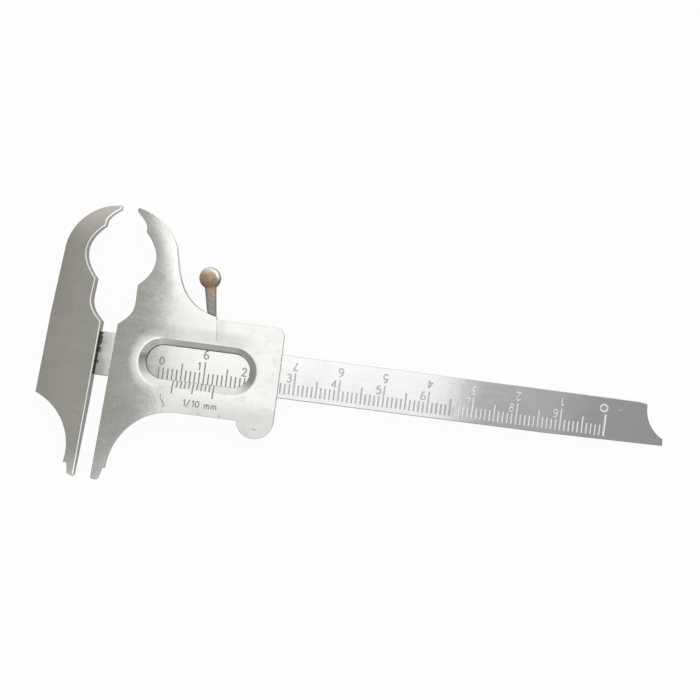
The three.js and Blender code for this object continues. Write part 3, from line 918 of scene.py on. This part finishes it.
def lower_back(centre, radius, start, cut=0.0):
    """The back below the slider, down to a tip that is round or, for the fixed jaw, cut aslant"""
    end = math.pi + math.asin((STEP_HEIGHT + centre[1]) / radius)
    near = 0.25 if cut else TIP_ROUND
    return edged([
        *arc(centre, radius, start, end, 48),
        (TIP_WIDTH, -STEP_HEIGHT), (TIP_END, TIP_ROUND + cut - LOWER_REACH),
        *bezier([(TIP_END, near + cut - LOWER_REACH), (TIP_END, cut - LOWER_REACH),
                 (TIP_END - near, 0.85 * cut - LOWER_REACH)], 10),
        *bezier([(near, 0.1 * cut - LOWER_REACH), (0, -LOWER_REACH),
                 (0, TIP_ROUND - LOWER_REACH)], 10),
    ])


# %% Thinner tips
BEAK_BACK, TIP_BACK = TOP - 1.6, TOP - 1.5


def thin_to_tips(thing):
    """Slopes the back of a jaw from the slider's edges out to both tips"""
    with editing(thing) as made:
        for y in (-FOOT, HEAD):
            bmesh.ops.bisect_plane(
                made, geom=[*made.verts, *made.edges, *made.faces], plane_co=(0, y, 0),
                plane_no=(0, 1, 0), dist=1e-5,
            )
        low = min(v.co.z for v in made.verts)
        for v in made.verts:
            if v.co.z < (low + TOP) / 2:
                below = min(1, max(0, (-FOOT - v.co.y) / (LOWER_REACH - FOOT)))
                above = min(1, max(0, (v.co.y - HEAD) / (UPPER_REACH - HEAD)))
                v.co.z += below * (TIP_BACK - low) + above * (BEAK_BACK - low)


# %% [markdown]
# ## Fixed jaw
# It is let over the end of the beam and brazed there, so only its edge shows where it lies on
# the beam: a bright line of the chamfer, and next to it the dark, ragged line of the braze.

# %% Fixed jaw
def fixed_jaw_outline():
    foot, radius, shoulder, depth = 11.26, 12.65, 10.0, 10.48
    centre = (2.65 + radius, -shoulder - radius)
    start = math.acos((foot - centre[0]) / radius)
    points = measuring_edge(MEASURING_EDGE) + crown(depth, depth) + edged([
        (11.05, KNEE), (foot, centre[1] + radius * math.sin(start)),
    ]) + lower_back(centre, radius, start, 0.5)
    mirrored = [(-x, y, edge) for x, y, edge in points]
    return left_handed(shift(turn(mirrored, -LEAN), FACE_X))


outline = fixed_jaw_outline()
sides = wall(outline, BEAM_LOW, TOP, steps=6, flat=0.4)
fixed_jaw = solid("fixed_jaw_blade", [(outline, sides)], FIXED_STEEL)
thin_to_tips(fixed_jaw)
carve(fixed_jaw, block(
    FACE_X - BEAM_SEAT - 0.15, FACE_X + 5, -CHANNEL_HALF, CHANNEL_HALF, BEAM_TOP,
))
dress(fixed_jaw, "frame", "jaw_steel", "fixed_jaw")

# %% [markdown]
# ## Slider
# The moving jaw and the slider's plate are two pieces that meet at a seam, but their face was
# finished in one. So the body is made whole, with the window and the channel for the beam, and
# cut apart afterwards. The face sinks a little towards the window, and that slight slope catches
# the light.

# %% Slider outline
WINDOW_HALF, WINDOW_AXIS = 3.725, -0.15
WINDOW_LEFT, WINDOW_RIGHT = FACE_X + 7.3 + WINDOW_HALF, RIGHT - 6.6 - WINDOW_HALF
WINDOW_FOOT = WINDOW_AXIS - WINDOW_HALF
BEVEL, LIP, LIP_LEAST, LIP_MORE = 1.5, 0.4, 0.03, 0.11
SHOULDER, SHOULDER_DROP, SHOULDER_STEPS = 2.6, 0.075, 8


def slider_outline():
    tab, tab_reach, corner, radius, shoulder = 4.1, 14.35, 2.2, 14.2, 12.2
    centre_x = 2.6 + radius
    centre = (centre_x, (centre_x * math.sin(LEAN) - FOOT - radius) / math.cos(LEAN))
    shoulder_x = (UPPER_SEAM - FACE_X - shoulder * math.sin(LEAN)) / math.cos(LEAN)
    top = crown(10.75, 9.8)
    x, y, _ = top[-1]
    back = edged(bezier([
        (x, y), (between(x, shoulder_x, 0.15), between(y, shoulder, 0.51)),
        (between(x, shoulder_x, 0.27), between(y, shoulder, 0.91)), (shoulder_x, shoulder),
    ], 40)[1:])
    jaw_top = shift(turn(measuring_edge(MOVING_EDGE) + top + back, -LEAN), FACE_X)
    jaw_low = shift(turn(lower_back(centre, radius, math.pi / 2 + LEAN), -LEAN), FACE_X)
    tab_y = tab - tab_reach
    tab_start = math.pi - math.asin((-FOOT - tab_y) / tab)
    plate = edged([
        (UPPER_SEAM, HEAD),
        *arc((RIGHT - corner, HEAD - corner), corner, math.pi / 2, 0, 16),
        *arc((RIGHT - tab, tab_y), tab, math.tau, tab_start, 40),
    ])
    return left_handed(jaw_top + plate + jaw_low)


def face_drop(beyond):
    """How far the face lies below its own level, this far outside the window's bevel"""
    return SHOULDER_DROP * (1 - min(1, beyond / SHOULDER)) ** 2


RIM = TOP - face_drop(0)


def across(x, y):
    """The step to a place from the window's own middle line"""
    return Vector((x - min(max(x, WINDOW_LEFT), WINDOW_RIGHT), y - WINDOW_AXIS))


def window_walls(points):
    """Rings up the window: a dark lip painted as shadow, wider above and on the left, the bevel
    and the shoulder
    """
    sides = [across(x, y).normalized() for x, y, _ in points]
    lip = [LIP_LEAST + LIP_MORE * min(1, max(0, 0.3 + 0.7 * (s.y - s.x))) for s in sides]
    rings = [(0, BACK), (0, WEB_LOW + 0.05), (np.array(lip), WEB_LOW + LIP)]
    rings += [(BEVEL - 0.06, RIM - 0.05), (BEVEL + 0.02, RIM - 0.005)]
    beyond = [SHOULDER * i / SHOULDER_STEPS for i in range(1, SHOULDER_STEPS + 1)]
    return rings + [(BEVEL + step, TOP - face_drop(step)) for step in beyond]


outline = slider_outline()
window = edged([
    point for x, start in ((WINDOW_RIGHT, math.pi / 2), (WINDOW_LEFT, -math.pi / 2))
    for point in arc((x, WINDOW_AXIS), WINDOW_HALF, start, start - math.pi, 40)
])
body = solid("slider_body", [
    (outline, wall(outline, BACK, TOP)), (window, window_walls(window)),
], SLIDER_STEEL)
# The lip's faces get the dark groove steel, a painted shadow that is wider under the window's
# upper and left edges.
body.data.materials.append(GROOVE_DIRT_AND_SHADOW)
for face in body.data.polygons:
    x, y, z = face.center
    if WEB_LOW < z < WEB_LOW + LIP and across(x, y).length < WINDOW_HALF + LIP:
        face.material_index = 1
thin_to_tips(body)

# %% [markdown]
# Behind, a channel lets the beam through, a pocket takes the friction spring and a slot takes
# the lock lever. The vernier's marks run down the window's lower bevel, and the first, the middle
# and the last come out on to the face.

# %% Channel, pockets and vernier
PIVOT_X, PIVOT_Y = RIGHT - 15.85, 7.6
FAR, POCKET_HALF, POCKET_TOP, SLOT_LEFT, SLOT_RIGHT = 60, 13.9, 5.9, 2.8, 3.1
VERNIER_STEP, LONG_REACH, MIDDLE_REACH = 0.9, 1.35, 0.9

carve(body, block(-FAR, FAR, -CHANNEL_HALF, CHANNEL_HALF, WEB_LOW))
carve(body, block(PIVOT_X - POCKET_HALF, PIVOT_X + POCKET_HALF, 0, POCKET_TOP, WEB_LOW))
carve(body, block(PIVOT_X - SLOT_LEFT, PIVOT_X + SLOT_RIGHT, 0, HEAD + 5, WEB_LOW))


def vernier_strokes():
    low = Vector((WINDOW_FOOT + 0.05, WEB_LOW + LIP - 0.05))
    rim = Vector((WINDOW_FOOT - BEVEL, RIM - 0.01))
    slope = rim - low
    out, up = Vector((0, slope.y, -slope.x)).normalized(), Vector((0, 0, 1))
    strokes = []
    for i in range(11):
        reach = LONG_REACH if i in (0, 10) else MIDDLE_REACH if i == 5 else 0.0
        x = i * VERNIER_STEP
        path, ups = [(x, *low)], [out]
        if reach:
            slip = random.uniform(-0.05, 0.05)
            path += [(x, *rim), (x + slip, rim.x - reach, TOP - face_drop(reach))]
            ups += [up, up]
        else:
            path.append((x, *(rim - slope.normalized() * random.uniform(0.0, 0.15))))
            ups.append(out)
        strokes.append((0, path, random.uniform(0.28, 0.38), 0.13, False, ups))
    return strokes


engrave(body, vernier_strokes(), VERNIER_DIRT)

# %% [markdown]
# A plain "1/10 mm" says what one step of the vernier is worth, in the same pale dirt as the
# vernier's marks. Under the window's left end an old tool mark runs to the lower edge, and a few
# dents and short scratches show use.

# %% Small engraving on the slider
def words(text, x, y, height, *cut):
    """Strokes of a line of text that is centred on x"""
    steps = [ADVANCE[sign] * height for sign in text]
    place = x - sum(steps) / 2
    strokes = []
    for sign, step in zip(text, steps):
        strokes += numeral(sign, place + MID * height, y, height, *cut)
        place += step
    return strokes


engrave(body, words("1/10 mm", 10.2 - OPENING, -8.35, 1.5, 0.22, 0.09, TOP), VERNIER_DIRT)
tool_marks = [
    [(1.45, -7.0), (1.4, -8.0), (2.05, -8.8), (2.4, -9.5), (1.95, -9.7)],
    [(22.6, -3.6), (22.7, -4.6)], [(23.6, -3.4), (23.8, -4.9)],
    [(9.7, -10.3), (10.6, -10.45)], [(14.3, -10.35), (14.9, -10.2)],
    [(22.0, -12.1), (23.1, -12.3)],
]


def on_face(mark):
    """A smooth path on the face, which sinks towards the window, from points as photographed"""
    rim = WINDOW_HALF + BEVEL
    return [(x - OPENING, y, TOP - face_drop(abs(y) - rim)) for x, y in flow(mark, 4)]


engrave(body, [(0, on_face(mark), 0.12, 0.05, False) for mark in tool_marks], GROOVE_DIRT_AND_SHADOW)

# %% Seam
SEAM_TOP, SEAM_FOOT = (UPPER_SEAM, HEAD + 1.2), (UPPER_SEAM + 0.75, 4.9)
LOWER_SEAM_TOP = WINDOW_FOOT - BEVEL - 2.2
right_of_seam = left_handed([
    (SEAM_FOOT[0], 0), (LOWER_SEAM, 0), (LOWER_SEAM, -FAR), (FAR, -FAR), (FAR, FAR),
    (UPPER_SEAM, FAR), SEAM_TOP, SEAM_FOOT,
])
engrave(body, [
    (0, [(*SEAM_TOP, TOP), (*SEAM_FOOT, TOP)], 0.07, 0.04, False),
    (0, [(LOWER_SEAM, LOWER_SEAM_TOP, TOP), (LOWER_SEAM, -FOOT - 0.5, TOP)], 0.05, 0.03, False),
], GROOVE_DIRT_AND_SHADOW)
plate = add("slider_face_plate", body.data.copy())
for part, operation in ((body, "DIFFERENCE"), (plate, "INTERSECT")):
    carve(part, prism(right_of_seam, -5, 20, SLIDER_STEEL), operation)
body.name = "moving_jaw_blade"
dress(body, "slider", "jaw_steel", "moving_jaw")
dress(plate, "slider", "jaw_steel", "slider_plate")

# %% [markdown]
# ## Back plate, rivets and dowels
# A thin plate closes the slider's back. Its rivets and the lever's pin are filed flush with it,
# so they show only as fine rings.

# %% Back plate
LEFT_BACK, RIGHT_BACK, HIGH_BACK = FACE_X + 2.7, RIGHT - 0.3, HEAD - 0.3
BACK_CORNER, BACK_TOP = 1.2, BACK - 0.01
RIVET, RIVET_HOLE, RIVET_INSET, PIN, PIN_HOLE = 0.82, 0.86, 2.4, 0.7, 0.76
rivets = [(x, y) for y in (HIGH_BACK - RIVET_INSET, RIVET_INSET - HIGH_BACK)
          for x in (LEFT_BACK + RIVET_INSET, RIGHT_BACK - RIVET_INSET)]
left, right, high = LEFT_BACK + BACK_CORNER, RIGHT_BACK - BACK_CORNER, HIGH_BACK - BACK_CORNER
outline = left_handed(edged([
    point for i, centre in enumerate([(right, -high), (right, high), (left, high), (left, -high)])
    for point in arc(centre, BACK_CORNER, (i - 1) * math.pi / 2, i * math.pi / 2, 12)
]))
cover = solid("back_cover", [
    (outline, wall(outline, 0, BACK_TOP)),
    *[hole(x, y, RIVET_HOLE, 0, BACK_TOP) for x, y in rivets],
    hole(PIVOT_X, PIVOT_Y, PIN_HOLE, 0, BACK_TOP),
], SLIDER_STEEL)
dress(cover, "slider", "jaw_steel", "back_plate")


# %% Rivets, pin and dowels
def stud(name, x, y, radius, low, high, material, steps=40):
    return solid(name, [hole(x, y, radius, low, high, 0.05, (0, math.tau), steps)], material)


for i, (x, y) in enumerate(rivets, 1):
    rivet = stud(f"flush_rivet_{i}", x, y, RIVET, 0, TOP - 0.6, SLIDER_STEEL)
    dress(rivet, "slider", "jaw_steel", f"slider_rivet_{i}")
pin = stud("pivot_pin", PIVOT_X, PIVOT_Y, PIN, 0, WEB_LOW - 0.1, SPRING_STEEL)
dress(pin, "slider", "spring_steel", "lever_pin")
for i, (x, y) in enumerate(dowels, 1):
    dowel = stud(f"flush_dowel_{i}", x, y, DOWEL, BEAM_LOW, BEAM_TOP + 1, SPRING_STEEL)
    dress(dowel, "frame", "spring_steel", f"jaw_dowel_{i}")

# %% [markdown]
# ## Lock lever
# A flattened ball on a stem with a flat front, and below it a root with a cam that turns on the
# pin inside the slider. It is lofted through sections along its axis: nearly square ones make the
# stem and nearly round ones make the ball.

# %% Lever
LEVER_LEAN = math.radians(9.95)
LEVER_LENGTH, BALL, BALL_DEPTH, STEM_AXIS = 12.1, 2.39, 2.35, 2.4
ROOT_END, ROOT_HALF, STEM_START, STEM_FOOT, STEM_TOP = 2.5, 0.98, 3.5, 0.96, 1.215
ROOT_SQUARE, STEM_SQUARE, BALL_SQUARE = 8, 5, 2.2
CAM, CAM_SHIFT, BORE, SMALLEST = 2.0, 0.35, 0.8, 0.02


def lever_sections():
    """Rows of (place along the axis, middle height, half width, half height, squareness)"""
    mid, half = (BEAM_LOW + BEAM_TOP) / 2, (BEAM_TOP - BEAM_LOW) / 2
    rows = [(along, mid, ROOT_HALF, half, ROOT_SQUARE) for along in (0.0, ROOT_END)]
    for share in (0.35, 0.7, 1.0):
        blend = share * share * (3 - 2 * share)
        rows.append((
            between(ROOT_END, STEM_START, share), between(mid, STEM_AXIS, blend),
            between(ROOT_HALF, STEM_FOOT, blend), between(half, 1.0, blend),
            between(ROOT_SQUARE, STEM_SQUARE, blend),
        ))
    neck = LEVER_LENGTH - math.sqrt(BALL ** 2 - STEM_TOP ** 2)
    for share in (0.1, 0.3, 0.5, 0.7, 0.86, 0.94):
        wide = between(STEM_FOOT, STEM_TOP, share)
        rows.append((between(STEM_START, neck, share), STEM_AXIS, wide, wide - 0.15, STEM_SQUARE))
    start = math.asin((STEM_TOP + 0.1) / BALL)
    for i in range(29):
        turned = start + (math.pi - start) * i / 28
        along = -math.cos(turned)
        high = max(SMALLEST, BALL_DEPTH * (1 - abs(along) ** BALL_SQUARE) ** (1 / BALL_SQUARE))
        wide = max(SMALLEST, BALL * math.sin(turned))
        rows.append((LEVER_LENGTH + BALL * along, STEM_AXIS, wide, high, BALL_SQUARE))
    return rows


def loft(name, rows, material, around=64):
    made = bmesh.new()
    rings = []
    for along, middle, wide, high, square in rows:
        ring = []
        for i in range(around):
            c, s = math.cos(math.tau * i / around), math.sin(math.tau * i / around)
            x = math.copysign(abs(c) ** (2 / square), c) * wide
            z = math.copysign(abs(s) ** (2 / square), s) * high
            ring.append(made.verts.new((x, along, middle + z)))
        rings.append(ring)
    skin(made, rings)
    return as_object(name, made, material)


lever = loft("ball_lever", lever_sections(), NICKEL)
carve(lever, stud("cam", CAM_SHIFT, 0, CAM, BEAM_LOW, BEAM_TOP, NICKEL, steps=48), "UNION")
carve(lever, stud("cutter", 0, 0, BORE, 0, 6, NICKEL))
with editing(lever) as made:
    lean = Quaternion((0, 0, 1), LEVER_LEAN).to_matrix()
    bmesh.ops.rotate(made, verts=made.verts, cent=(0, 0, 0), matrix=lean)
    bmesh.ops.translate(made, verts=made.verts, vec=(PIVOT_X, PIVOT_Y, 0))

# %% [markdown]
# The stem's foot is filed to the slider's edge, with just enough room to swing. The slider's own
# outline, a little grown, is the file: it is held to the lever at several turns between its stops,
# in degrees from rest.

# %% Foot of the lever
SWINGS, CLEARANCE = (0, 2.2, 4.3, -7, -14, -21, -28, -35.3), 0.07
for swing in SWINGS:
    points = shift(slider_outline(), -PIVOT_X, -PIVOT_Y)
    points = shift(turn(points, -math.radians(swing)), PIVOT_X, PIVOT_Y)
    carve(lever, prism(points, WEB_LOW - 0.1, TOP + 2, NICKEL, CLEARANCE), crossing=True)
dress(lever, "lever", "plated_brass", "lock_lever", crease=40)

# %% [markdown]
# ## Braze
# The fixed jaw is brazed along its edge. The seam was never cleaned up, so it is dark, rough and
# uneven: two random walks give its width on the beam and its height up the jaw's edge. It is thin
# enough that the jaws still close over it.

# %% Braze
def stray(value, least, most):
    """The next value of a random walk between two bounds"""
    return min(most, max(least, value + random.uniform(-0.25, 0.25)))


def braze_bead(count=110, end_gap=0.1, wide=0.4, tall=0.9):
    made = bmesh.new()
    rows = []
    for i in range(count + 1):
        y = -BEAM_HALF + end_gap + (2 * BEAM_HALF - 2 * end_gap) * i / count
        wide, tall = stray(wide, 0.2, 0.72), stray(tall, 0.5, 1.4)
        x = FACE_X + math.tan(LEAN) * y
        section = [(-0.05, -0.02), (-0.05, tall), (0.02, tall * 0.95), (0.035, 0.11),
                   (wide * 0.6, 0.09), (wide * 0.9, 0.05), (wide, -0.02)]
        rows.append([made.verts.new((x + dx, y, BEAM_TOP + dz)) for dx, dz in section])
    skin(made, rows)
    return as_object("braze_bead", made, BRAZE)


dress(braze_bead(), "frame", "jaw_steel", crease=80)

# %% [markdown]
# ## Spring
# Only the friction spring keeps its plain solid: it lies inside the slider, where a glimpse of
# its end is all that can be seen. It gets the finish of hard steel.

# %% Spring finish
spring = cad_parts["gib_spring"]
for held in spring.material_slots:
    held.material = SPRING_STEEL

# %% Print the size
boxes = [[list(corner) for corner in box] for box in (cad_box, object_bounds())]
print("box in mm:", [[round(v / MM, 2) for v in corner] for corner in boxes[1]])
